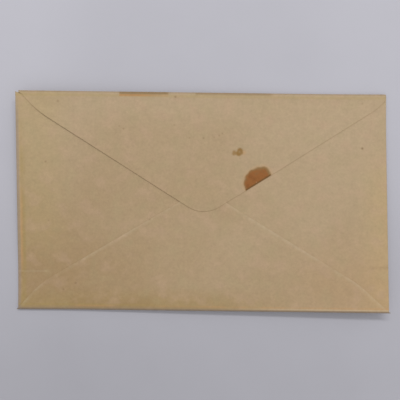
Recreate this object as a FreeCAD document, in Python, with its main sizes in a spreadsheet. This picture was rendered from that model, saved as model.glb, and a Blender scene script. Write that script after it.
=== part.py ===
import FreeCAD, Part
import math
import os
import Sketcher

# An old commercial envelope, closed and lying back side up.
# X runs along the long side, Y towards the fold of the top flap and Z up.
# The origin is under the middle of the envelope, on the surface that it lies on.
# It is one sheet of paper: a face panel underneath, and four flaps folded over it.
# The sheet is bent about the diagonal from the front left to the back right corner,
# so it rests on a flat band along that diagonal, and the other two corners lift.

doc = FreeCAD.newDocument("paper_envelope")
sizes = doc.addObject("Spreadsheet::Sheet", "sizes")

DIMENSIONS = (
    # The closed envelope, over its folds
    ("long_side", 152.4),
    ("short_side", 89.4),
    ("side_fold_setback", 0.4),
    ("corner_gap", 0.8),
    # The paper and the air between its layers
    ("paper", 0.12),
    ("pocket_gap", 0.6),
    ("layer_gap", 0.05),
    ("fold_flat", 0.04),
    # The bend across the diagonal: a flat band, and beside it the arc that lifts each wing
    ("flat_band", 10.0),
    ("curl_run", 15.0),
    ("curl_radius", 255.0),
    # The side flaps
    ("side_tip_gap", 2.0),
    ("side_tip_radius", 3.0),
    # The bottom flap
    ("bottom_depth", 50.5),
    ("bottom_tip_radius", 12.0),
    ("bottom_shoulder_in", 10.5),
    ("bottom_shoulder_up", 10.9),
    ("bottom_shoulder_radius", 40.0),
    # The top flap
    ("top_corner_in", 1.4),
    ("top_depth", 50.9),
    ("top_tip_radius", 12.2),
    ("top_shoulder_in", 9.5),
    ("top_shoulder_up", 8.7),
    ("top_shoulder_radius", 40.0),
    # The gum that holds the bottom flap to the side flaps
    ("gum_edge", 0.6),
    ("gum_width", 2.4),
    ("gum_start", 12.0),
    ("gum_end", 58.0),
    ("gum_soak", 0.04),
)
for row, (alias, number) in enumerate(DIMENSIONS, start=1):
    sizes.set("A%d" % row, alias)
    sizes.set("B%d" % row, str(number))
    sizes.setAlias("B%d" % row, alias)
doc.recompute()

# Heights of the layers over the lying surface, from the face panel up
FACE_TOP = "sizes.paper"
SIDE_UNDER = "(sizes.paper + sizes.pocket_gap)"
SIDE_TOP = "(2 * sizes.paper + sizes.pocket_gap)"
BOTTOM_UNDER = "(2 * sizes.paper + sizes.pocket_gap + sizes.layer_gap)"
BOTTOM_TOP = "(3 * sizes.paper + sizes.pocket_gap + sizes.layer_gap)"
TOP_UNDER = "(3 * sizes.paper + sizes.pocket_gap + 2 * sizes.layer_gap)"
TOP_TOP = "(4 * sizes.paper + sizes.pocket_gap + 2 * sizes.layer_gap)"

# Where the folds are, from the middle of the envelope
ACROSS = "(sizes.short_side / 2)"
ALONG = "(sizes.long_side / 2 - sizes.side_fold_setback)"

# Each fold's own frame: its middle and its turn, with X along the fold and Y inwards over the envelope
BOTTOM_FOLD = ("0", "-" + ACROSS, 0)
TOP_FOLD = ("0", ACROSS, 180)
LEFT_FOLD = ("-" + ALONG, "0", -90)
RIGHT_FOLD = (ALONG, "0", 90)

# Half the length of each flap's fold
SIDE_HALF_BASE = "(sizes.short_side / 2 - sizes.corner_gap)"
BOTTOM_HALF_BASE = "(sizes.long_side / 2)"
TOP_HALF_BASE = "(sizes.long_side / 2 - sizes.top_corner_in)"

# The bent section stands across the diagonal, which gets its turn when the section is drawn out
HALF_BAND = "sizes.flat_band / 2"
DIAGONAL = "atan(sizes.short_side / sizes.long_side)"
SECTION_PLACE = FreeCAD.Placement(FreeCAD.Vector(0, 0, 0), FreeCAD.Rotation(FreeCAD.Vector(1, 1, 1), 120))

# How far a block that hollows out a fold runs past the block that it hollows
RUN_OUT = "5"
UP = FreeCAD.Vector(0, 0, 1)


def value(expression):
    """The number that a sheet expression stands for."""
    result = sizes.evalExpression(expression)
    return float(getattr(result, "Value", result))


def rounding(before, here, after, radius):
    """The arc that rounds a corner, with its ends on the lines before and after it."""
    to_before = (before - here).normalize()
    to_after = (after - here).normalize()
    half_angle = to_before.getAngle(to_after) / 2
    run = radius / math.tan(half_angle)
    middle = here + (to_before + to_after).normalize() * (radius / math.sin(half_angle))
    touches = (here + to_before * run, here + to_after * run)
    angles = [math.atan2(touch.y - middle.y, touch.x - middle.x) for touch in touches]
    turns_left = to_after.x * to_before.y - to_after.y * to_before.x > 0
    first, last = angles if turns_left else reversed(angles)
    if last < first:
        last += 2 * math.pi
    circle = Part.Circle(middle, UP, radius)
    ends = (1, 2) if turns_left else (2, 1)
    return touches, Part.ArcOfCircle(circle, first, last), ends


def fold_frame(fold):
    """The placement of a fold's own frame."""
    x, y, turn = fold
    return FreeCAD.Placement(FreeCAD.Vector(value(x), value(y), 0), FreeCAD.Rotation(UP, turn))


def outline(name, corners, fold):
    """A sketch of a closed outline on the lying surface, in a fold's own frame.

    Each corner is its side of the middle line (-1, 0 or 1), its distance from that line, its
    distance from the fold and its rounding or None, all as expressions, in counter-clockwise order.
    """
    sketch = doc.addObject("Sketcher::SketchObject", name)
    sketch.Placement = fold_frame(fold)
    sketch.setExpression("Placement.Base.x", fold[0])
    sketch.setExpression("Placement.Base.y", fold[1])
    points = [FreeCAD.Vector(side * value(x), value(y), 0) for side, x, y, _ in corners]
    count = len(points)
    touches = [(point, point) for point in points]
    arcs = {}
    for index, (_, _, _, radius) in enumerate(corners):
        if radius is not None:
            after = points[(index + 1) % count]
            rounded = rounding(points[index - 1], points[index], after, value(radius))
            touches[index] = rounded[0]
            arcs[index] = rounded[1:]
    for index in range(count):
        sketch.addGeometry(Part.LineSegment(touches[index - 1][1], touches[index][0]), False)
    for index, (side, x, y, radius) in enumerate(corners):
        leaving = (index + 1) % count
        if radius is None:
            sketch.addConstraint(Sketcher.Constraint("Coincident", index, 2, leaving, 1))
            place_point(sketch, index, 2, side, x, y)
            continue
        arc = sketch.addGeometry(arcs[index][0], False)
        near, far = arcs[index][1]
        corner = sketch.addGeometry(Part.Point(points[index]), True)
        place_point(sketch, corner, 1, side, x, y)
        sketch.addConstraint(Sketcher.Constraint("PointOnObject", corner, 1, index))
        sketch.addConstraint(Sketcher.Constraint("PointOnObject", corner, 1, leaving))
        sketch.addConstraint(Sketcher.Constraint("Tangent", index, 2, arc, near))
        sketch.addConstraint(Sketcher.Constraint("Tangent", leaving, 1, arc, far))
        bind(sketch, Sketcher.Constraint("Radius", arc, value(radius)), radius)
    return sketch


def bind(sketch, constraint, expression):
    """Adds a measured constraint and ties it to the sheet."""
    index = sketch.addConstraint(constraint)
    sketch.setExpression("Constraints[%d]" % index, expression)


def hold_across(sketch, item, end, side, x):
    """Holds a point of a sketch at its distance to one side of the upright axis."""
    if side > 0:
        bind(sketch, Sketcher.Constraint("DistanceX", -1, 1, item, end, value(x)), x)
    else:
        bind(sketch, Sketcher.Constraint("DistanceX", item, end, -1, 1, value(x)), x)


def place_point(sketch, item, end, side, x, y):
    """Holds a point of a sketch at its distances from the sketch's two axes."""
    if side == 0:
        sketch.addConstraint(Sketcher.Constraint("PointOnObject", item, end, -2))
    else:
        hold_across(sketch, item, end, side, x)
    if y == "0":
        sketch.addConstraint(Sketcher.Constraint("PointOnObject", item, end, -1))
    else:
        bind(sketch, Sketcher.Constraint("DistanceY", -1, 1, item, end, value(y)), y)


def upright(name, sketch):
    """The column that stands above and below an outline."""
    column = doc.addObject("Part::Extrusion", name)
    column.Base = sketch
    column.DirMode = "Normal"
    column.Symmetric = True
    column.Solid = True
    column.setExpression("LengthFwd", "sizes.short_side")
    return column


def boolean(kind, name, base, tool):
    """A cut or a common of two solids."""
    result = doc.addObject("Part::" + kind, name)
    result.Base = base
    result.Tool = tool
    return result


def lifted_wing(section, side, heights):
    """One wing of a layer's section: two arcs about one centre, straight runs past them, and its end."""
    flat = value(HALF_BAND)
    reach = value("sizes.short_side")
    middle = FreeCAD.Vector(side * flat, value("sizes.curl_radius"), 0)
    swing = math.asin(value("sizes.curl_run / sizes.curl_radius"))
    down = -math.pi / 2
    span = (down - swing, down) if side < 0 else (down, down + swing)
    near, far = (2, 1) if side < 0 else (1, 2)
    wings = []
    rims = []
    for line, expression in enumerate(heights):
        radius = middle.y - value(expression)
        arc = section.addGeometry(Part.ArcOfCircle(Part.Circle(middle, UP, radius), *span))
        place_point(section, arc, 3, side, HALF_BAND, "sizes.curl_radius")
        section.addConstraint(Sketcher.Constraint("Coincident", arc, near, line, far))
        share = "(1 - %s / sizes.curl_radius)" % expression
        hold_across(section, arc, far, side, "(%s + sizes.curl_run * %s)" % (HALF_BAND, share))
        start = middle + FreeCAD.Vector(side * math.sin(swing), -math.cos(swing), 0) * radius
        rim = FreeCAD.Vector(side * reach, start.y + (reach - abs(start.x)) * math.tan(swing), 0)
        wing = section.addGeometry(Part.LineSegment(start, rim))
        section.addConstraint(Sketcher.Constraint("Tangent", arc, far, wing, 1))
        wings.append(wing)
        rims.append(rim)
    edge = section.addGeometry(Part.LineSegment(*rims))
    for end, wing in enumerate(wings, start=1):
        section.addConstraint(Sketcher.Constraint("Coincident", edge, end, wing, 2))
    section.addConstraint(Sketcher.Constraint("Vertical", edge))
    hold_across(section, edge, 1, side, "sizes.short_side")


def bent_layer(name, under, over):
    """A layer between two heights over the lying surface, flat along the diagonal, lifted beside it."""
    section = doc.addObject("Sketcher::SketchObject", name + "_section")
    section.Placement = SECTION_PLACE
    flat = value(HALF_BAND)
    heights = (under, over)
    for line, expression in enumerate(heights):
        height = value(expression)
        ends = (FreeCAD.Vector(-flat, height, 0), FreeCAD.Vector(flat, height, 0))
        section.addGeometry(Part.LineSegment(*ends))
        place_point(section, line, 1, -1, HALF_BAND, expression)
        place_point(section, line, 2, 1, HALF_BAND, expression)
    for side in (-1, 1):
        lifted_wing(section, side, heights)
    layer = doc.addObject("Part::Extrusion", name)
    layer.Base = section
    layer.DirMode = "Normal"
    layer.Symmetric = True
    layer.Solid = True
    layer.setExpression("LengthFwd", "2 * sizes.long_side")
    layer.Placement = FreeCAD.Placement(FreeCAD.Vector(0, 0, 0), FreeCAD.Rotation(UP, value(DIAGONAL)))
    layer.setExpression("Placement.Rotation.Angle", DIAGONAL)
    return layer


def round_fold(name, block, fold, setback, radius):
    """Rounds the two long edges of a block that run along its fold."""
    doc.recompute()
    inwards = fold_frame(fold).inverse()
    picked = []
    for number, edge in enumerate(block.Shape.Edges, start=1):
        ends = [inwards.multVec(vertex.Point) for vertex in edge.Vertexes]
        on_fold = all(abs(end.y - setback) < 1e-4 for end in ends)
        if on_fold and abs(ends[0].x - ends[1].x) > 1:
            picked.append((number, radius, radius))
    rounded = doc.addObject("Part::Fillet", name)
    rounded.Base = block
    rounded.Edges = picked
    return rounded


def rectangle(name, half_width, near, far, fold):
    """The outline of a block that reaches from one distance off the fold to another."""
    corners = (
        (-1, half_width, near, None),
        (1, half_width, near, None),
        (1, half_width, far, None),
        (-1, half_width, far, None),
    )
    return outline(name, corners, fold)


def folded_flap(name, fold, corners, depth, under, over, layers):
    """One flap with its fold and the part of the face panel under it.

    Its layers are the one from the lying surface up to the flap's top, and the air inside it.
    """
    half_base = corners[0][1]
    outer_block = upright(name + "_block", rectangle(name + "_field", half_base, "0", depth, fold))
    wide = "(%s + %s)" % (half_base, RUN_OUT)
    deep = "(%s + %s)" % (depth, RUN_OUT)
    inner_field = rectangle(name + "_inner_field", wide, "sizes.paper", deep, fold)
    inner_block = upright(name + "_inner_block", inner_field)
    outside = boolean("Common", name + "_outside", layers[0], outer_block)
    inside = boolean("Common", name + "_inside", layers[1], inner_block)
    outer_radius = value("(%s - sizes.fold_flat) / 2" % over)
    inner_radius = value("(%s - sizes.paper - sizes.fold_flat) / 2" % under)
    outside = round_fold(name + "_fold_outside", outside, fold, 0, outer_radius)
    inside = round_fold(name + "_fold_inside", inside, fold, value("sizes.paper"), inner_radius)
    loop = boolean("Cut", name + "_loop", outside, inside)
    column = upright(name + "_column", outline(name + "_outline", corners, fold))
    return boolean("Common", name, loop, column)


def side_corners():
    """A side flap is a plain pointed flap."""
    tip = "(%s - sizes.side_tip_gap / 2)" % ALONG
    return (
        (-1, SIDE_HALF_BASE, "0", None),
        (1, SIDE_HALF_BASE, "0", None),
        (0, "0", tip, "sizes.side_tip_radius"),
    )


def shouldered_corners(half_base, prefix):
    """The top and bottom flaps run steeper beside the corners, then straight to a rounded tip."""
    shoulder_x = "(sizes.long_side / 2 - sizes.%s_shoulder_in)" % prefix
    shoulder_y = "sizes.%s_shoulder_up" % prefix
    shoulder_round = "sizes.%s_shoulder_radius" % prefix
    return (
        (-1, half_base, "0", None),
        (1, half_base, "0", None),
        (1, shoulder_x, shoulder_y, shoulder_round),
        (0, "0", "sizes.%s_depth" % prefix, "sizes.%s_tip_radius" % prefix),
        (-1, shoulder_x, shoulder_y, shoulder_round),
    )


def face_panel():
    """The panel underneath, short of the folds by their rounding."""
    panel = doc.addObject("Part::Box", "face_field")
    panel.setExpression("Length", "2 * (%s - %s / 2)" % (ALONG, SIDE_TOP))
    panel.setExpression("Width", "2 * (%s - %s / 2)" % (ACROSS, TOP_TOP))
    panel.setExpression("Height", "sizes.short_side")
    panel.setExpression("Placement.Base.x", "%s / 2 - %s" % (SIDE_TOP, ALONG))
    panel.setExpression("Placement.Base.y", "%s / 2 - %s" % (TOP_TOP, ACROSS))
    panel.setExpression("Placement.Base.z", "-sizes.short_side / 2")
    layer = bent_layer("face_layer", "0", FACE_TOP)
    return boolean("Common", "face_panel", layer, panel)


def gum_strip(name, side, layer):
    """A strip of gum beside one edge of the bottom flap, between it and the side flap below."""
    run = "(sizes.long_side / 2 - sizes.bottom_shoulder_in)"
    slope = "((sizes.bottom_depth - sizes.bottom_shoulder_up) / %s)" % run
    corners = []
    for distance, drop in (
        ("sizes.gum_start", "(sizes.gum_edge + sizes.gum_width)"),
        ("sizes.gum_end", "(sizes.gum_edge + sizes.gum_width)"),
        ("sizes.gum_end", "sizes.gum_edge"),
        ("sizes.gum_start", "sizes.gum_edge"),
    ):
        height = "(sizes.bottom_depth - %s * %s - %s)" % (slope, distance, drop)
        corners.append((side, distance, height, None))
    if side < 0:
        corners.reverse()
    column = upright(name + "_column", outline(name + "_outline", corners, BOTTOM_FOLD))
    return boolean("Common", name, layer, column)


side_layers = (
    bent_layer("side_outer_layer", "0", SIDE_TOP),
    bent_layer("side_inner_layer", FACE_TOP, SIDE_UNDER),
)
bottom_layers = (
    bent_layer("bottom_outer_layer", "0", BOTTOM_TOP),
    bent_layer("bottom_inner_layer", FACE_TOP, BOTTOM_UNDER),
)
top_layers = (
    bent_layer("top_outer_layer", "0", TOP_TOP),
    bent_layer("top_inner_layer", FACE_TOP, TOP_UNDER),
)
gum_layer = bent_layer(
    "gum_layer", "(%s - sizes.gum_soak)" % SIDE_TOP, "(%s + sizes.gum_soak)" % BOTTOM_UNDER
)

pieces = [
    face_panel(),
    folded_flap("left_flap", LEFT_FOLD, side_corners(), ALONG, SIDE_UNDER, SIDE_TOP, side_layers),
    folded_flap("right_flap", RIGHT_FOLD, side_corners(), ALONG, SIDE_UNDER, SIDE_TOP, side_layers),
    folded_flap(
        "bottom_flap", BOTTOM_FOLD, shouldered_corners(BOTTOM_HALF_BASE, "bottom"),
        "sizes.bottom_depth", BOTTOM_UNDER, BOTTOM_TOP, bottom_layers,
    ),
    folded_flap(
        "top_flap", TOP_FOLD, shouldered_corners(TOP_HALF_BASE, "top"),
        "sizes.top_depth", TOP_UNDER, TOP_TOP, top_layers,
    ),
    gum_strip("left_gum", -1, gum_layer),
    gum_strip("right_gum", 1, gum_layer),
]

envelope = doc.addObject("Part::MultiFuse", "envelope")
envelope.Label = "envelope"
envelope.Shapes = pieces
envelope.Refine = True
doc.recompute()

for item in doc.Objects:
    if "Invalid" in item.State or "Error" in item.State:
        raise SystemExit("%s did not build: %s" % (item.Name, item.State))
if envelope.Shape.isNull() or not envelope.Shape.isValid() or len(envelope.Shape.Solids) != 1:
    raise SystemExit("the envelope is not one valid solid")

os.makedirs("parts", exist_ok=True)
envelope.Shape.exportStep("parts/envelope.step")
box = envelope.Shape.optimalBoundingBox(False, False)
print("box %.3f %.3f %.3f to %.3f %.3f %.3f" % (box.XMin, box.YMin, box.ZMin, box.XMax, box.YMax, box.ZMax))
print("volume %.2f mm3, area %.1f mm2" % (envelope.Shape.Volume, envelope.Shape.Area))
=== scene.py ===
import functools
import math

import bmesh
import bpy
import numpy as np
from mathutils import Matrix, Vector, noise


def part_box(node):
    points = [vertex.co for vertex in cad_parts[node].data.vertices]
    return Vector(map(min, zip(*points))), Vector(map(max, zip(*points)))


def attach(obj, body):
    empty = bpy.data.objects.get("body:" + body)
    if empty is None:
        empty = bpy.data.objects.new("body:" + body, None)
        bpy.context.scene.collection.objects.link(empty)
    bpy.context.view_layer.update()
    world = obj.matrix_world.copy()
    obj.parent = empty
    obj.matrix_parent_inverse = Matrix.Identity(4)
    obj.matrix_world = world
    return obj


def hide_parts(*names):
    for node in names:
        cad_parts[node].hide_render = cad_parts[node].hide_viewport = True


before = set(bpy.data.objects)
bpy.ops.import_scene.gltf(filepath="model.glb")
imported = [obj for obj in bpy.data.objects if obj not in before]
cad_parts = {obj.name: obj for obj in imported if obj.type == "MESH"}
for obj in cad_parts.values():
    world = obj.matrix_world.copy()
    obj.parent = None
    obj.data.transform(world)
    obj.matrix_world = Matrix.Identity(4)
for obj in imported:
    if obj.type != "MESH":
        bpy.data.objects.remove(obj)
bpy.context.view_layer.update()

MM = 0.001

# The closed envelope, over its folds
LOW, HIGH = (Vector(corner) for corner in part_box("envelope"))
HALF_LONG = (HIGH.x - LOW.x) / 2
HALF_SHORT = (HIGH.y - LOW.y) / 2
SIDE_SETBACK = 0.4 * MM
CORNER_GAP = 0.8 * MM

# The paper and the air between its layers
PAPER = 0.12 * MM
POCKET = 0.6 * MM
AIR = 0.05 * MM

# The bend about the diagonal: a flat band, and beside it the arc that lifts each wing
HALF_BAND = 5.0 * MM
CURL_RUN = 15.0 * MM
CURL_RADIUS = 255.0 * MM
WING_SLOPE = math.tan(math.asin(CURL_RUN / CURL_RADIUS))

# The paper's slow waves: half their height, their width and the seed of their noise
WAVES = ((0.09 * MM, 46 * MM, 2.3), (0.035 * MM, 17 * MM, 7.1))

# Heights of the middle of each layer over the lying surface
FACE_HEIGHT = PAPER / 2
SIDE_HEIGHT = PAPER * 1.5 + POCKET
BOTTOM_HEIGHT = PAPER * 2.5 + POCKET + AIR
TOP_HEIGHT = PAPER * 3.5 + POCKET + 2 * AIR

# How far a place is from a flap's slanted edge, as a share of how far it is along the fold
EDGE_SLANT = 0.86

# The mesh of the sheet
CELL = 1.05 * MM
BEND_ROWS = 8
ARC_STEPS = 14
TIP_STEPS = ARC_STEPS // 2
MERGE_DISTANCE = 0.002 * MM
FAR_FROM_CUT = 20 * MM

# The window lamp beyond the back edge, in metres and watts, and the room's even light
WINDOW_PLACE = (0.06, 0.38, 0.48)
WINDOW_SIZE = (0.6, 0.06)
WINDOW_POWER = 1.67
ROOM_LIGHT = 0.685

# Half the table's width, in metres
TABLE_HALF = 1.5

# The camera over the table, and where its middle falls beside the envelope's
CAMERA_HEIGHT = 170.0 * MM
VIEW_WIDTH = 166.0 * MM
CAMERA_X = -0.88 * MM
CAMERA_Y = 0.73 * MM
CAMERA_ROLL = math.radians(0.30)


def smooth(low, high, value):
    """A soft step from 0 at low to 1 at high."""
    share = min(max((value - low) / (high - low), 0.0), 1.0)
    return share * share * (3 - 2 * share)


def ripple(x, y, width, seed):
    """A gentle wave of the given width, from about -1 to 1."""
    return noise.noise(Vector((x / width, y / width, seed))) * 1.6


def curl_height(x, y):
    """How far the bend lifts the sheet, about the diagonal that lies flat."""
    diagonal = math.hypot(HALF_LONG, HALF_SHORT)
    across = abs(-x * HALF_SHORT + y * HALF_LONG) / diagonal
    run = min(max(across - HALF_BAND, 0.0), CURL_RUN)
    past = max(across - HALF_BAND - CURL_RUN, 0.0)
    return CURL_RADIUS - math.sqrt(CURL_RADIUS ** 2 - run ** 2) + past * WING_SLOPE


def lie_of_sheet(x, y):
    """The lying surface of the whole envelope: the bend and the paper's own slow waves."""
    wave = sum(half * (1 + ripple(x, y, width, seed)) for half, width, seed in WAVES)
    return curl_height(x, y) + max(wave, 0.0)


def rounded_edge(corners, tip_depth, tip_cut):
    """One side of a flap's cut edge, from the fold over its shoulder to the tip.

    Each corner is its distance out, its distance from the fold and its radius. The tip ends
    tip_cut short of the point where the two sides would meet.
    """
    path = [Vector((x, y)) for x, y, _ in corners] + [Vector((0, tip_depth))]
    ahead = path[1:] + [Vector((-path[-2].x, path[-2].y))]
    radii = [radius for _, _, radius in corners[1:]] + [None]
    points = [path[0]]
    for before, here, after, radius in zip(path, ahead, ahead[1:], radii):
        to_before = (before - here).normalized()
        to_after = (after - here).normalized()
        half_angle = to_before.angle(to_after) / 2
        steps = ARC_STEPS
        if radius is None:
            radius = tip_cut / (1 / math.sin(half_angle) - 1)
            steps = TIP_STEPS
        centre = here + (to_before + to_after).normalized() * radius / math.sin(half_angle)
        start = here + to_before * radius / math.tan(half_angle) - centre
        sweep = math.pi - 2 * half_angle
        for step in range(steps + 1):
            points.append(centre + Matrix.Rotation(sweep * step / ARC_STEPS, 2) @ start)
    return points


class Flap:
    """A flap of the sheet in its fold's own frame: X along the fold, Y inwards over the envelope."""

    def __init__(self, middle, turn, height, half_base, sides, tip):
        self.middle = Vector(middle)
        self.turn = Matrix.Rotation(turn, 2)
        self.back = Matrix.Rotation(-turn, 2)
        self.bend = (height - FACE_HEIGHT) / 2
        self.inset = self.bend + PAPER / 2
        self.bend_length = math.pi * self.bend
        tip_x, tip_depth, tip_cut = tip
        self.lean = tip_x / tip_depth
        self.edges = [rounded_edge(side, tip_depth, tip_cut) for side in sides]
        self.half_base = half_base
        self.depths = [point.y for point in self.edges[1]]

    def from_middle(self, x, depth):
        """The distance from the line between the fold's middle and the tip, and the side that is on."""
        out = x - self.lean * depth
        return abs(out), self.edges[out > 0]

    def half_width(self, depth, edge):
        """The flap's width on one side of its middle line, at a distance from its fold."""
        past = max(depth - edge[-1].y, 0.0)
        return float(np.interp(depth, [point.y for point in edge], [point.x for point in edge])) - past

    def inward(self, x, y):
        """A place over the envelope, in the fold's own frame."""
        return self.back @ (Vector((x, y)) - self.middle)

    def outward(self, x, y):
        """A place in the fold's own frame, over the envelope."""
        return self.turn @ Vector((x, y)) + self.middle

    def on_blank(self, x, y):
        """Where a place on the closed flap, in millimetres, is on the flat blank."""
        here = self.inward(x * MM, y * MM)
        run = self.bend_length + here.y - self.inset
        return self.outward(here.x, self.inset - run).to_3d()

    def cover(self, x, y, blur):
        """How far the flap covers a place: 1 inside its cut edge, 0 outside."""
        here = self.inward(x, y)
        out, edge = self.from_middle(here.x, here.y)
        return smooth(-blur, blur, (self.half_width(here.y, edge) - out) * EDGE_SLANT)

    def from_edge(self, x, depth):
        """The distance from a place on the flap to its cut edge."""
        out, edge = self.from_middle(x, depth)
        here = Vector((out, depth))
        nearest = 1.0
        for start, end in zip(edge, edge[1:]):
            run = end - start
            share = min(max((here - start).dot(run) / max(run.dot(run), 1e-12), 0.0), 1.0)
            nearest = min(nearest, (start + run * share - here).length)
        return nearest


# The flaps' cut edges. Each corner is its distance from the flap's middle line, its distance from the fold
# and its rounding, and each tip is its lean, its depth and how much its rounding takes off.
FOLD_X = HALF_LONG - SIDE_SETBACK
SIDE_BASE = HALF_SHORT - CORNER_GAP
TOP_BASE = HALF_LONG - 1.9 * MM
SIDE_EDGE = ((HALF_SHORT - 0.45 * MM, 0, 0), (HALF_SHORT - 1.8 * MM, 3.5 * MM, 6 * MM))
SIDE_TIP = (0, FOLD_X - 1.0 * MM, 3.0 * MM)
BOTTOM_LEFT_EDGE = ((HALF_LONG, 0, 0), (HALF_LONG - 9.4 * MM, 10.7 * MM, 40 * MM))
BOTTOM_RIGHT_EDGE = ((HALF_LONG, 0, 0), (HALF_LONG - 12.5 * MM, 11.5 * MM, 40 * MM))
BOTTOM_EDGES = (BOTTOM_LEFT_EDGE, BOTTOM_RIGHT_EDGE)
BOTTOM_TIP = (0.2 * MM, 50.3 * MM, 2.2 * MM)
TOP_RIGHT_EDGE = (
    (HALF_LONG - 0.8 * MM, 0, 0),
    (HALF_LONG - 0.9 * MM, 3.0 * MM, 1.2 * MM),
    (HALF_LONG - 4.6 * MM, 6.4 * MM, 10 * MM),
    (30.0 * MM, 32.45 * MM, 200 * MM),
)
TOP_LEFT_EDGE = ((TOP_BASE, 0, 0), (HALF_LONG - 7.8 * MM, 7.3 * MM, 40 * MM))
TOP_EDGES = (TOP_RIGHT_EDGE, TOP_LEFT_EDGE)
TOP_TIP = (-0.6 * MM, 50.9 * MM, 2.2 * MM)
LEFT = Flap((-FOLD_X, 0), -math.pi / 2, SIDE_HEIGHT, SIDE_BASE, (SIDE_EDGE, SIDE_EDGE), SIDE_TIP)
RIGHT = Flap((FOLD_X, 0), math.pi / 2, SIDE_HEIGHT, SIDE_BASE, (SIDE_EDGE, SIDE_EDGE), SIDE_TIP)
BOTTOM = Flap((0, -HALF_SHORT), 0, BOTTOM_HEIGHT, HALF_LONG, BOTTOM_EDGES, BOTTOM_TIP)
TOP = Flap((0, HALF_SHORT), math.pi, TOP_HEIGHT, TOP_BASE, TOP_EDGES, TOP_TIP)

# How far the top flap's cut edge stands off: the place along the long side and the lift, in millimetres
EDGE_LIFTS = (
    (-75, -0.04), (-70, -0.01), (-64, 0.2), (-56, 0.22), (-44, 0.16),
    (-30, 0.12), (-12, 0.14), (-4, 0), (4, -0.04), (75, -0.04),
)
EDGE_LIFT_X = [x * MM for x, _ in EDGE_LIFTS]
EDGE_LIFT_Z = [lift * MM for _, lift in EDGE_LIFTS]
LIFT_FADE = 6 * MM

# How a flap settles where no other is under it: over what blur, how far from its fold, and beside its gum
STEP_BLUR = 0.8 * MM
SETTLE = 4 * MM
EDGE_SETTLE = 0.25
GUMMED_SLOPE = 0.8 * MM
GUMMED_SHARE = 0.9

# The crease across the left side flap
CREASE_Y = -28.9 * MM
CREASE_END = -63.4 * MM
CREASE_FADE = 5 * MM
CREASE_HALF = 1.1 * MM
CREASE_HEIGHT = 0.03 * MM


def side_cover(x, y):
    """How far either side flap covers a place."""
    return max(LEFT.cover(x, y, STEP_BLUR), RIGHT.cover(x, y, STEP_BLUR))


def side_lie(x, y, depth, from_edge):
    """The side flaps lie flat, but for a short crease at the left."""
    ridge = smooth(CREASE_HALF, 0, abs(y - CREASE_Y)) * smooth(CREASE_END, CREASE_END - CREASE_FADE, x)
    return SIDE_HEIGHT + CREASE_HEIGHT * ridge


def bottom_lie(x, y, depth, from_edge):
    """The bottom flap steps down where no side flap is under it, and its gummed edge slopes down."""
    missing = PAPER * (1 - side_cover(x, y)) + GUMMED_SHARE * AIR * smooth(GUMMED_SLOPE, 0, from_edge)
    return BOTTOM_HEIGHT - missing * smooth(0, SETTLE, depth)


def top_lie(x, y, depth, from_edge):
    """The top flap follows the flaps under it, and its cut edge stands off a little."""
    missing = PAPER * (1 - side_cover(x, y)) + (PAPER + AIR) * (1 - BOTTOM.cover(x, y, STEP_BLUR))
    lift = float(np.interp(x, EDGE_LIFT_X, EDGE_LIFT_Z)) * math.exp(-from_edge / LIFT_FADE)
    settle = SETTLE * (EDGE_SETTLE + (1 - EDGE_SETTLE) * smooth(0, SETTLE, from_edge))
    return TOP_HEIGHT - missing * smooth(0, settle, depth) + lift


def spread(low, high):
    """Evenly spaced places from low to high, about a cell apart."""
    count = max(round((high - low) / CELL), 1)
    return [low + (high - low) * step / count for step in range(count + 1)]


def lay_grid(sheet, columns, rows, place):
    """Adds a grid to the sheet and puts each of its corners where it lies."""
    made = bmesh.ops.create_grid(sheet, x_segments=columns, y_segments=rows, size=1.0)
    for vert in made["verts"]:
        place(vert, round((vert.co.x + 1) / 2 * columns), round((vert.co.y + 1) / 2 * rows))


def fold_flap(sheet, flap, base, lie, layers):
    """Adds a flap with its fold, from the face panel's edge round the bend to the tip."""
    blank, cut_edge = layers
    bend_length = flap.bend_length
    tip_start = flap.depths[-1 - TIP_STEPS]
    runs = [bend_length * step / BEND_ROWS for step in range(BEND_ROWS)]
    flat_rows = spread(flap.inset, tip_start) + flap.depths[-TIP_STEPS:]
    runs += [bend_length + depth - flap.inset for depth in flat_rows]

    def place(vert, column, row):
        run = runs[row]
        share = base[column] / base[-1]
        edge = flap.edges[share > 0]
        if run < bend_length:
            turned = run / flap.bend
            depth = flap.inset - flap.bend * math.sin(turned)
            height = FACE_HEIGHT + flap.bend * (1 - math.cos(turned))
            half_width = base[-1] + (edge[0].x - base[-1]) * smooth(0, bend_length / 2, run)
            x = share * half_width
            from_edge = half_width - abs(x)
        else:
            depth = flap.inset + run - bend_length
            x = flap.lean * depth + share * flap.half_width(depth, edge)
            from_edge = flap.from_edge(x, depth)
        spot = flap.outward(x, depth)
        if run >= bend_length:
            height = lie(spot.x, spot.y, depth, from_edge)
        vert.co = (spot.x, spot.y, lie_of_sheet(spot.x, spot.y) + height)
        vert[blank] = flap.outward(x, flap.inset - run).to_3d()
        vert[cut_edge] = from_edge

    lay_grid(sheet, len(base) - 1, len(runs) - 1, place)


def face_lines(half_length, inset_low, inset_high, inner):
    """The grid lines of the face panel across one direction, with one at each end of a flap's fold."""
    return [-half_length + inset_low] + spread(-inner, inner) + [half_length - inset_high]


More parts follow.
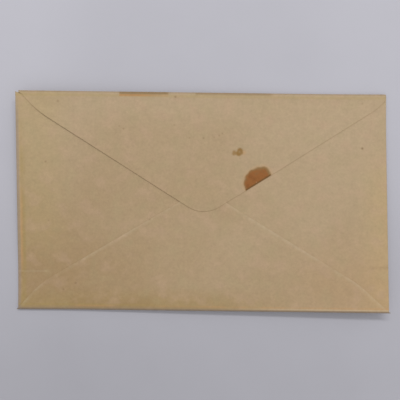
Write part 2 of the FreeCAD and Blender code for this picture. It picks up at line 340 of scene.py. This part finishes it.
def fold_envelope():
    """The whole sheet, folded: the face panel underneath and its four flaps, with real thickness."""
    sheet = bmesh.new()
    blank = sheet.verts.layers.float_vector.new("blank")
    cut_edge = sheet.verts.layers.float.new("cut_edge")
    layers = (blank, cut_edge)
    across = face_lines(FOLD_X, LEFT.inset, RIGHT.inset, TOP.half_base)
    upward = face_lines(HALF_SHORT, BOTTOM.inset, TOP.inset, LEFT.half_base)

    def place(vert, column, row):
        x = across[column]
        y = upward[row]
        vert.co = (x, y, lie_of_sheet(x, y) + FACE_HEIGHT)
        vert[blank] = (x, y, 0)
        vert[cut_edge] = FAR_FROM_CUT

    lay_grid(sheet, len(across) - 1, len(upward) - 1, place)
    side_base = upward[1:-1]
    fold_flap(sheet, LEFT, side_base, side_lie, layers)
    fold_flap(sheet, RIGHT, side_base, side_lie, layers)
    fold_flap(sheet, BOTTOM, across, bottom_lie, layers)
    fold_flap(sheet, TOP, across[1:-1], top_lie, layers)
    bmesh.ops.remove_doubles(sheet, verts=sheet.verts, dist=MERGE_DISTANCE)
    bmesh.ops.recalc_face_normals(sheet, faces=sheet.faces)
    for face in sheet.faces:
        face.smooth = True
    for edge in sheet.edges:
        edge.smooth = not edge.is_boundary
    mesh = bpy.data.meshes.new("envelope_sheet")
    sheet.to_mesh(mesh)
    sheet.free()
    envelope = bpy.data.objects.new("envelope_sheet", mesh)
    bpy.context.scene.collection.objects.link(envelope)
    thickness = envelope.modifiers.new("paper_thickness", "SOLIDIFY")
    thickness.thickness = PAPER
    thickness.offset = 0.0
    thickness.use_even_offset = True
    return envelope


def linear(red, green, blue):
    """A colour as a screen shows it, 0 to 255, for use in a material."""
    shown = (red / 255, green / 255, blue / 255)
    return tuple(c / 12.92 if c <= 0.04045 else ((c + 0.055) / 1.055) ** 2.4 for c in shown) + (1.0,)


class Wire:
    """A number, vector or colour on its way through a material's nodes."""

    def __init__(self, tree, socket=None):
        self.tree = tree
        self.socket = socket

    def node(self, kind, settings=None, inputs=None, output=0):
        """Adds a node: its settings first, then the values or links of its sockets."""
        made = self.tree.nodes.new(kind)
        for name, value in (settings or {}).items():
            setattr(made, name, value)
        for name, value in (inputs or {}).items():
            if isinstance(value, Wire):
                self.tree.links.new(value.socket, made.inputs[name])
            else:
                made.inputs[name].default_value = value
        return Wire(self.tree, made.outputs[output])

    def math(self, operation, *values):
        return self.node("ShaderNodeMath", {"operation": operation}, dict(enumerate(values)))

    def __add__(self, other):
        return self.math("ADD", self, other)

    def __radd__(self, other):
        return self.math("ADD", other, self)

    def __sub__(self, other):
        return self.math("SUBTRACT", self, other)

    def __rsub__(self, other):
        return self.math("SUBTRACT", other, self)

    def __mul__(self, other):
        return self.math("MULTIPLY", self, other)

    def __rmul__(self, other):
        return self.math("MULTIPLY", other, self)

    def least(self, other):
        return self.math("MINIMUM", self, other)

    def most(self, other):
        return self.math("MAXIMUM", self, other)

    def size(self):
        return self.math("ABSOLUTE", self)

    def step(self, low, high, start=0.0, end=1.0):
        """A soft step from start at low to end at high."""
        inputs = {0: self, 1: low, 2: high, 3: start, 4: end}
        return self.node("ShaderNodeMapRange", {"interpolation_type": "SMOOTHSTEP"}, inputs)

    def fade(self, low, high, start=0.0, end=1.0):
        """A soft step over a distance, with low and high in millimetres."""
        return self.step(low * MM, high * MM, start, end)

    def band(self, middle, inner, outer):
        """1 within inner of the middle and 0 past outer, all in millimetres."""
        return (self - middle * MM).size().fade(inner, outer, 1, 0)

    def blend(self, first, second):
        """From the first colour to the second one, by this share."""
        return self.node("ShaderNodeMix", {"data_type": "RGBA"}, {0: self, 6: first, 7: second}, output=2)

    def tint(self, colour, share):
        """This colour, changed towards another by a share."""
        return share.blend(self, colour)

    def dye(self, colour):
        """A colour or vector times this number."""
        return self.node("ShaderNodeVectorMath", {"operation": "SCALE"}, {0: colour, "Scale": self})

    def grain(self, scale, detail=2.0, roughness=0.5):
        """Noise at this place, from 0 to 1."""
        inputs = {"Vector": self, "Scale": scale, "Detail": detail, "Roughness": roughness}
        return self.node("ShaderNodeTexNoise", {}, inputs)

    def axis(self, index):
        return self.node("ShaderNodeSeparateXYZ", {}, {0: self}, output=index)

    def vector(self, operation, inputs, output=0):
        return self.node("ShaderNodeVectorMath", {"operation": operation}, {0: self, **inputs}, output)

    def dot(self, direction):
        return self.vector("DOT_PRODUCT", {1: direction}, output=1)

    def blot(self, centre, radius, soft):
        """A round mark: 1 inside its radius, 0 outside, over a soft rim, both in millimetres."""
        return self.vector("DISTANCE", {1: centre}, output=1).fade(radius - soft, radius + soft, 1, 0)

    def within(self, outline):
        """How far this place is inside a convex outline; outside it is less than 0."""
        middle = sum(outline, Vector()) / len(outline)
        inside = None
        for start, end in zip(outline, outline[1:] + outline[:1]):
            inward = Vector((start.y - end.y, end.x - start.x, 0)).normalized()
            if inward.dot(middle - start) < 0:
                inward.negate()
            side = self.dot(inward) - start.dot(inward)
            inside = side if inside is None else self.math("SMOOTH_MIN", inside, side, OUTLINE_ROUNDING)
        return inside

    def stroke(self, start, end, half_width, soft):
        """A straight mark between two places, with its half width and soft rim in millimetres."""
        run = end - start
        share = ((self.dot(run) - start.dot(run)) * (1 / run.dot(run))).most(0).least(1)
        foot = share.dye(run).vector("ADD", {1: start})
        away = self.vector("DISTANCE", {1: foot}, output=1)
        return away.fade(half_width - soft, half_width + soft, 1, 0)


def strongest(marks):
    """Several marks as one, which is as strong as the strongest of them at each place."""
    return functools.reduce(Wire.most, marks)


def new_surface(name, roughness, shine):
    """A new material, its first wire and its surface shader's node."""
    material = bpy.data.materials.new(name)
    material.use_nodes = True
    shader = material.node_tree.nodes["Principled BSDF"]
    shader.inputs["Roughness"].default_value = roughness
    shader.inputs["Specular IOR Level"].default_value = shine
    return material, Wire(material.node_tree), shader


def feed(wire, shader, socket):
    """Leads a wire into one of the surface shader's sockets."""
    wire.tree.links.new(wire.socket, shader.inputs[socket])


# The paper's colours
BUFF = linear(178, 156, 126)
BROWNED = linear(162, 136, 101)
OLIVE = linear(166, 152, 115)
ROSY = linear(184, 155, 128)
SUNNED = linear(186, 160, 118)
YELLOWED = linear(174, 152, 106)
CUT_BROWN = linear(138, 110, 74)
# Painted shade: the greys at the rims of the top, front and left folds stand for the shade of the rounded
# folds
TOP_FOLD_SHADE = linear(132, 112, 92)
FRONT_FOLD_SHADE = linear(130, 115, 100)
LEFT_FOLD_SHADE = linear(150, 134, 120)
STRIP_BROWN = linear(130, 104, 64)
OLIVE_BROWN = linear(160, 137, 88)
ORANGE = linear(196, 146, 98)
STRIP_ORANGE = linear(177, 134, 88)
# Pale: painted highlight on the front fold's crest and on the bottom flap's gummed cut edges, and the pale
# crease at the left
PALE_HIGHLIGHT_AND_WEAR = linear(200, 184, 156)
STAIN_CORE = linear(143, 92, 49)
STAIN_DARK = linear(122, 76, 38)
STAIN_RIM = linear(136, 106, 66)
STAIN_LINE = linear(112, 80, 44)
STAIN_HALO = linear(184, 150, 112)
DROP = linear(144, 112, 66)
SPECK = linear(128, 104, 74)
TABLE_GREY = linear(185, 184, 192)

# The gum stain on the top flap, which the flap's edge cuts off, and the drops above it, in millimetres over
# the closed envelope. Each drop is its middle, its radius and how dark it is.
STAIN_OUTLINE = (
    (16.9, 7.2), (17.6, 10.1), (18.9, 12.3), (21.4, 13.9),
    (25.8, 14.7), (27.7, 13.3), (28.4, 10.2), (19.3, 3.0),
)
OUTLINE_ROUNDING = 1.2 * MM
STAIN_FLECK = (22.4, 8.2)
DROPS = (
    ((15.5, 21.1), 1.15, 1.0), ((15.0, 20.1), 1.15, 1.0), ((15.9, 20.4), 0.9, 0.9),
    ((13.9, 20.1), 0.8, 0.85), ((13.1, 20.5), 0.7, 0.8), ((13.0, 19.9), 0.7, 0.8),
)
DROP_MIDDLE = (15.3, 20.7)
DROP_HALO = (17.0, 20.4)


def mark(flap, place):
    """Where a mark on the closed envelope, in millimetres, is on the blank."""
    return flap.on_blank(*place)


# Specks in the paper: the flap, the place and the radius in millimetres, and how dark each is
SPECKS = (
    (TOP, (0.4, 26.2), 0.30, 0.5), (TOP, (6.9, 27.3), 0.28, 0.5), (TOP, (4.9, 26.5), 0.25, 0.4),
    (TOP, (8.2, 28.1), 0.28, 0.4), (TOP, (-5.3, 26.2), 0.30, 0.4), (TOP, (65.9, 40.8), 0.30, 0.3),
    (TOP, (-58.6, 40.5), 0.50, 0.35), (TOP, (-32.3, 29.7), 0.30, 0.5), (TOP, (-34.0, 30.7), 0.28, 0.4),
    (TOP, (-11.6, 31.4), 0.28, 0.4), (RIGHT, (65.9, 22.3), 0.40, 0.8), (LEFT, (-63.9, 16.1), 0.35, 0.5),
    (BOTTOM, (-21.6, -7.2), 0.35, 0.5), (BOTTOM, (-52.0, -33.8), 0.45, 0.5),
    (BOTTOM, (-57.0, -36.4), 0.40, 0.5), (LEFT, (-63.0, -8.0), 0.30, 0.4), (TOP, (-11.1, 42.8), 0.35, 0.6),
)

# The smudge at the right, and the pale line of the crease at the left, from end to end
SMUDGE = (mark(RIGHT, (68.6, -26.6)), mark(RIGHT, (75.0, -26.3)))
CREASE_LINE = (mark(LEFT, (-75.2, -28.9)), mark(LEFT, (-63.4, -28.9)))


def aged_tone(place, blank):
    """Buff, browned where it was handled and most at the front left corner, in olive and rosy clouds."""
    x = place.axis(0)
    y = place.axis(1)
    front = y.fade(35, -40)
    left = x.fade(20, -75)
    browned = front * (left * 0.72 + 0.38) + (blank.grain(45) - 0.5) * 0.5
    colour = browned.blend(BUFF, BROWNED)
    handled = x.band(-16, 24, 48) * y.band(14, 12, 28)
    front_strip = y.fade(-34, -43) * x.fade(50, -10)
    colour = colour.tint(BROWNED, handled * 0.3 + front_strip * 0.75)
    colour = colour.tint(OLIVE_BROWN, front_strip * 0.4)
    rim_patch = x.band(-37.5, 13, 21) * y.fade(-38.5, -42.5)
    colour = colour.tint(CUT_BROWN, rim_patch * 0.26)
    colour = colour.tint(YELLOWED, x.fade(-50, -66) * y.fade(-30, -10) * 0.35)
    colour = colour.tint(SUNNED, x.fade(60, 76) * y.fade(30, 0) * 0.55)
    colour = colour.tint(ORANGE, x.fade(20, 65) * y.fade(-5, -35) * 0.12)
    clouds = blank.grain(150)
    colour = colour.tint(OLIVE, clouds.step(0.5, 0.7) * 0.2)
    return colour.tint(ROSY, clouds.step(0.5, 0.3) * 0.35)


def browned_and_shaded_folds(colour, place):
    """The folds: painted shade at the very rim of the top, front and left folds and a painted highlight
    along the front fold, yellowed inside the rim at the left, brown strips at the top.
    """
    x = place.axis(0)
    y = place.axis(1)
    patchy = place.grain(180).step(0.35, 0.6, 0.45, 1.0)
    wavy = x + (place.grain(70) - 0.5) * (1.2 * MM)
    orange_line = wavy.band(-73.9, 0.2, 0.9) * y.fade(36, 24)
    rim_colour = (y.fade(-32, -22) * y.fade(10, -4)).blend(OLIVE_BROWN, ORANGE)
    colour = colour.tint(rim_colour, orange_line * patchy * 0.4)
    olive_line = wavy.band(-73.1, 0.2, 1.3) * y.fade(42, -15)
    colour = colour.tint(OLIVE_BROWN, olive_line * patchy * 0.6)
    # Painted shade on the left fold's rounded outer side
    colour = colour.tint(LEFT_FOLD_SHADE, x.fade(-74.3, -74.9) * y.fade(46, 30) * 0.6)
    colour = colour.tint(OLIVE_BROWN, y.band(-42.5, 0, 0.7) * x.fade(0, -40) * 0.5)
    red_stretch = x.fade(-24, -12).most(x.band(-44, 6, 10))
    reddened = y.band(-43.0, 0.1, 0.6) * red_stretch
    colour = colour.tint(ORANGE, reddened * patchy * 0.25)
    # Painted highlight along the crest of the front fold
    painted_highlight_share = y.band(-43.6, 0, 0.45)
    colour = colour.tint(PALE_HIGHLIGHT_AND_WEAR, painted_highlight_share * x.fade(0, 50, 0.02, 0.4))
    # Painted shade on the front fold's rounded rim, which turns away from the lamp
    colour = colour.tint(FRONT_FOLD_SHADE, y.fade(-42.6, -43.9) * x.fade(25, -5) * 0.28)
    colour = colour.tint(FRONT_FOLD_SHADE, y.fade(-43.7, -44.2) * 0.8)
    # Painted shade along the top fold's outermost rim
    colour = colour.tint(TOP_FOLD_SHADE, y.fade(43.8, 44.4) * 0.45)
    strip = x.fade(-34.3, -33.5) * x.fade(-14.5, -13.5, 1, 0)
    colour = colour.tint(YELLOWED, y.band(43.0, 0.1, 0.9) * 0.4)
    orange = strip * y.band(43.25, 0.1, 0.75)
    colour = colour.tint(STRIP_ORANGE, orange * x.fade(-17, -26, 0.35, 0.9))
    thin = x.fade(-3.4, -2.4) * x.fade(27, 30, 0.55, 0)
    return colour.tint(STRIP_BROWN, y.fade(43.3, 43.9) * strip.most(thin) * 0.7)


def browned_and_highlit_cuts(colour, blank, cut_edge):
    """The cut edges: brown on the top flap, and a painted highlight where the bottom flap is gummed down.
    """
    y = blank.axis(1)
    on_top = y.step(HALF_SHORT, HALF_SHORT + 2 * MM)
    on_bottom = y.step(-HALF_SHORT, -HALF_SHORT - 2 * MM)
    colour = colour.tint(CUT_BROWN, on_top * cut_edge.fade(0, 0.25, 1, 0) * 0.35)
    # Painted highlight on the bottom flap's cut edges, which face the lamp
    painted_highlight_share = blank.grain(180).step(0.35, 0.6, 0.2, 1.0)
    return colour.tint(PALE_HIGHLIGHT_AND_WEAR, on_bottom * cut_edge.fade(0.2, 1.7, 1, 0) * painted_highlight_share * 0.2)


def gum_stain(colour, blank, cut_edge):
    """The reddish brown stain with its darker rim, dark along the flap's cut edge from stain pooled there
    and from painted shade of the edge, and its drops.
    """
    wobble = (blank.grain(500) - 0.5) * (1.1 * MM)
    inside = blank.within([mark(TOP, place) for place in STAIN_OUTLINE]) + wobble
    colour = colour.tint(STAIN_HALO, inside.fade(-1.6, 0) * 0.45)
    colour = colour.tint(STAIN_RIM, inside.fade(-0.55, 0.4) * 0.95)
    patches = blank.grain(330, 1.0)
    core = (inside + blank.axis(0).fade(17, 26, 0.5 * MM, 0)).fade(0.2, 1.5)
    colour = colour.tint(STAIN_CORE, core * patches.step(0.2, 0.5, 0.7, 1.0))
    colour = colour.tint(STAIN_DARK, core * patches.step(0.52, 0.72) * 0.6)
    # Darker near the cut edge: stain pooled there, and painted shade of the edge
    edge_pool_and_shade = cut_edge.fade(0.4, 0.85, 1, 0)
    colour = colour.tint(STAIN_LINE, edge_pool_and_shade * inside.fade(-0.3, 0.2) * 0.9)
    colour = colour.tint(ROSY, blank.blot(mark(TOP, STAIN_FLECK), 0.15, 0.2) * 0.5)

    colour = colour.tint(STAIN_HALO, blank.blot(mark(TOP, DROP_HALO), 0.9, 0.8) * 0.8)
    drops = strongest(blank.blot(mark(TOP, place), radius, 0.5) * dark for place, radius, dark in DROPS)
    middle = blank.blot(mark(TOP, DROP_MIDDLE), 0.4, 0.4)
    return colour.tint(DROP, drops * (1 - middle * 0.3))


def scattered_specks(colour, blank):
    """The small dark specks, a smudge at the right and the pale crease at the left."""
    spots = strongest(
        blank.blot(mark(flap, place), radius, 0.4) * dark for flap, place, radius, dark in SPECKS
    )
    colour = colour.tint(SPECK, spots.most(blank.stroke(*SMUDGE, 0.6, 0.9) * 0.2))
    return colour.tint(PALE_HIGHLIGHT_AND_WEAR, blank.stroke(*CREASE_LINE, 0.3, 0.4) * 0.14)


def aged_paper():
    """Buff wove paper with the browning, stains, specks and browned folds of its age, and painted shade and
    highlights at its folds and cut edges.
    """
    material, start, shader = new_surface("aged_buff_paper", roughness=0.9, shine=0.25)
    place = start.node("ShaderNodeTexCoord", output=3)
    blank = start.node("ShaderNodeAttribute", {"attribute_name": "blank"}, output=1)
    cut_edge = start.node("ShaderNodeAttribute", {"attribute_name": "cut_edge"}, output=2)
    colour = aged_tone(place, blank)
    colour = browned_and_shaded_folds(colour, place)
    colour = browned_and_highlit_cuts(colour, blank, cut_edge)
    colour = gum_stain(colour, blank, cut_edge)
    colour = scattered_specks(colour, blank)

    mottle = blank.grain(330, 3.0, 0.6)
    fibre = blank.grain(2600, 2.0, 0.6)
    fleck = blank.grain(1000)
    amount = 1 + (mottle - 0.5) * 0.2 + (fleck - 0.5) * 0.2 + (fibre - 0.5) * 0.1
    feed(amount.dye(colour), shader, "Base Color")
    bump = start.node(
        "ShaderNodeBump", {}, {"Height": fibre + mottle, "Strength": 0.25, "Distance": 0.03 * MM}
    )
    feed(bump, shader, "Normal")
    return material


def table_top():
    """The pale table, with painted shade and light: greyer towards the front and most at the front left
    where the lamp's light falls off, darker behind the middle, and lighter at the front corners and at the
    back left.
    """
    material, start, shader = new_surface("pale_table", roughness=0.7, shine=0.2)
    place = start.node("ShaderNodeTexCoord", output=3)
    x = place.axis(0)
    y = place.axis(1)
    # Painted shade and light: greyer towards the front as the lamp's light falls off, darker behind the
    # middle, and lighter at the front corners and the back left, over the shadows there
    painted_shade_and_light = y.fade(20, -80) * x.fade(-80, 80, 0.175, 0.12)
    painted_shade_and_light += y.fade(35, 60) * x.size().fade(75, 30) * 0.04
    painted_shade_and_light -= x.size().fade(55, 80) * y.fade(-20, -45) * 0.03
    painted_shade_and_light -= x.fade(-35, -75) * y.fade(20, 45) * 0.035
    amount = 1 - painted_shade_and_light + (place.grain(60) - 0.5) * 0.04
    feed(amount.dye(TABLE_GREY[:3]), shader, "Base Color")
    return material


def lay_table(material):
    """A wide flat table at the height that the envelope lies on."""
    top = bmesh.new()
    bmesh.ops.create_grid(top, x_segments=8, y_segments=8, size=TABLE_HALF)
    mesh = bpy.data.meshes.new("table_top")
    top.to_mesh(mesh)
    top.free()
    mesh.materials.append(material)
    table = bpy.data.objects.new("table_top", mesh)
    bpy.context.scene.collection.objects.link(table)


def light_table():
    """A long soft window lamp beyond the back edge, and an even pale room around."""
    lamp = bpy.data.lights.new("window", "AREA")
    lamp.shape = "RECTANGLE"
    lamp.size, lamp.size_y = WINDOW_SIZE
    lamp.energy = WINDOW_POWER
    window = bpy.data.objects.new("window", lamp)
    window.location = WINDOW_PLACE
    window.rotation_euler = (-window.location).to_track_quat("-Z", "Y").to_euler()
    bpy.context.scene.collection.objects.link(window)
    world = bpy.data.worlds.new("room")
    world.use_nodes = True
    room = world.node_tree.nodes["Background"]
    room.inputs["Color"].default_value = (1, 1, 1, 1)
    room.inputs["Strength"].default_value = ROOM_LIGHT
    bpy.context.scene.world = world


def look_down():
    """The camera straight over the envelope, as the photo was taken."""
    lens = bpy.data.cameras.new("overhead")
    lens.angle = 2 * math.atan(VIEW_WIDTH / 2 / CAMERA_HEIGHT)
    camera = bpy.data.objects.new("overhead", lens)
    camera.location = (CAMERA_X, CAMERA_Y, CAMERA_HEIGHT)
    camera.rotation_euler = (0, 0, CAMERA_ROLL)
    bpy.context.scene.collection.objects.link(camera)
    bpy.context.scene.camera = camera


bpy.context.scene.view_settings.view_transform = "Standard"
look_down()
light_table()
lay_table(table_top())

envelope = fold_envelope()
envelope.data.materials.append(aged_paper())
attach(envelope, "root")
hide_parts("envelope")
